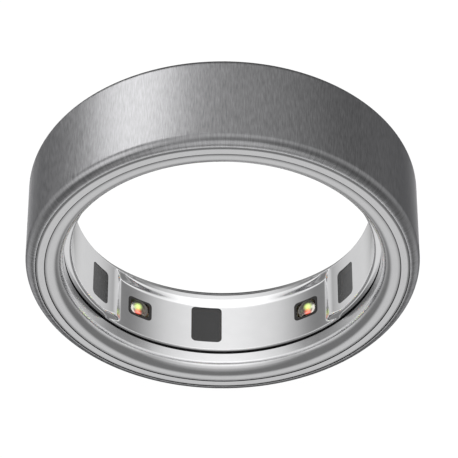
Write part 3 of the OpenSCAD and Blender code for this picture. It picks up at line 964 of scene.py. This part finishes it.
def hang_light(scene, name, width, strength, pieces):
    """Adds a round, soft light that reaches only the pieces in a collection, and faces down."""
    data = bpy.data.lights.new(name, "AREA")
    data.shape = "DISK"
    data.size = width
    data.energy = strength * math.pi * math.pi * (width / 2) ** 2
    light = bpy.data.objects.new(name, data)
    scene.collection.objects.link(light)
    light.light_linking.receiver_collection = pieces
    return light


def gather(name, pieces):
    """A collection of pieces for lights that reach no others."""
    gathered = bpy.data.collections.new(name)
    for piece in pieces:
        gathered.objects.link(bpy.data.objects[piece])
    return gathered


def light_pieces(scene, stage):
    """Hangs the lights of the band's highlight and edges, and the lamp of the rolls' insides."""
    band = gather("brushed_pieces", ["brushed_band"])
    for name, (azimuth, elevation, width, strength) in BAND_LIGHTS.items():
        light = hang_light(scene, name, width, stage.band_light * strength, band)
        out = towards(azimuth, elevation)
        light.location = out * BAND_LIGHT_DISTANCE
        light.rotation_euler = out.to_track_quat("Z", "Y").to_euler()
    rolls = gather("rolled_pieces", [rim + "_rolled_ring" for rim in RIMS])
    lamp = hang_light(scene, "hole_lamp", HOLE_LAMP_WIDTH, HOLE_LAMP_STRENGTH, rolls)
    lamp.location = HOLE_LAMP_PLACE
    lamp.visible_camera = False


class RING_OT_stage(Operator):
    """Sets up the floor, the soft light and the camera"""
    bl_idname = "ring.stage"
    bl_label = "Stage"

    def execute(self, context):
        scene = context.scene
        stage = scene.ring_stage
        scene.view_settings.view_transform = "Standard"
        soft_sky(scene)
        light_pieces(scene, stage)
        self.lay_floor(scene, stage)
        self.set_camera(scene, stage)
        return {"FINISHED"}

    def lay_floor(self, scene, stage):
        """Lays a wide white card under the ring, which reflections and shadows leave out."""
        mesh = bmesh.new()
        bmesh.ops.create_grid(mesh, x_segments=1, y_segments=1, size=stage.floor_size / 2)
        bmesh.ops.translate(mesh, vec=(0, 0, CAD_BOX[0].z), verts=mesh.verts)
        data = bpy.data.meshes.new("floor")
        mesh.to_mesh(data)
        mesh.free()
        # Card with a matt white coat: dull and even
        material, tree, shader = new_material("white_card", {
            "Emission Color": linear("#FFFFFF"), "Emission Strength": CARD_GLOW})
        vary(tree, shader, linear(CARD_GREY), 2 * MM, tone=0.01, roughness=(0.85, 0.95))
        data.materials.append(material)
        floor = bpy.data.objects.new("floor", data)
        scene.collection.objects.link(floor)
        floor.visible_glossy = False
        floor.visible_shadow = False

    def set_camera(self, scene, stage):
        """Puts the camera in front of the ring and above it."""
        data = bpy.data.cameras.new("camera")
        data.lens = stage.lens
        data.sensor_width = stage.sensor
        data.clip_start, data.clip_end = CAMERA_REACH
        camera = bpy.data.objects.new("camera", data)
        scene.collection.objects.link(camera)
        back = Vector((0, -math.cos(stage.elevation), math.sin(stage.elevation)))
        target = Vector((stage.target_x, stage.target_y, stage.target_z))
        camera.location = target + stage.distance * back
        camera.rotation_euler = (-back).to_track_quat("-Z", "Y").to_euler()
        scene.camera = camera


class RING_PT_pieces(Panel):
    """Lists the ring's pieces"""
    bl_idname = "RING_PT_pieces"
    bl_label = "Smart Ring"
    bl_space_type = "VIEW_3D"
    bl_region_type = "UI"
    bl_category = "Ring"

    def draw(self, context):
        for operator in OPERATORS:
            self.layout.operator(operator.bl_idname)


GROUPS = {"ring_band": RingBandSizes, "ring_ends": RingEndSizes, "ring_liner": RingLinerSizes,
          "ring_windows": RingWindowSizes, "ring_colours": RingColours, "ring_stage": RingStage}
OPERATORS = (RING_OT_outer_band, RING_OT_end_rings, RING_OT_liner, RING_OT_seals, RING_OT_windows,
             RING_OT_emitters, RING_OT_inside, RING_OT_stage)
CLASSES = (*GROUPS.values(), *OPERATORS, RING_PT_pieces)


def register():
    for cls in CLASSES:
        bpy.utils.register_class(cls)
    for name, group in GROUPS.items():
        setattr(bpy.types.Scene, name, PointerProperty(type=group))


def unregister():
    for name in GROUPS:
        delattr(bpy.types.Scene, name)
    for cls in reversed(CLASSES):
        bpy.utils.unregister_class(cls)


def main():
    register()
    bpy.ops.ring.outer_band()
    bpy.ops.ring.end_rings()
    bpy.ops.ring.liner()
    bpy.ops.ring.seals()
    bpy.ops.ring.windows()
    bpy.ops.ring.emitters()
    bpy.ops.ring.inside()
    bpy.ops.ring.stage()


if __name__ == "__main__":
    main()
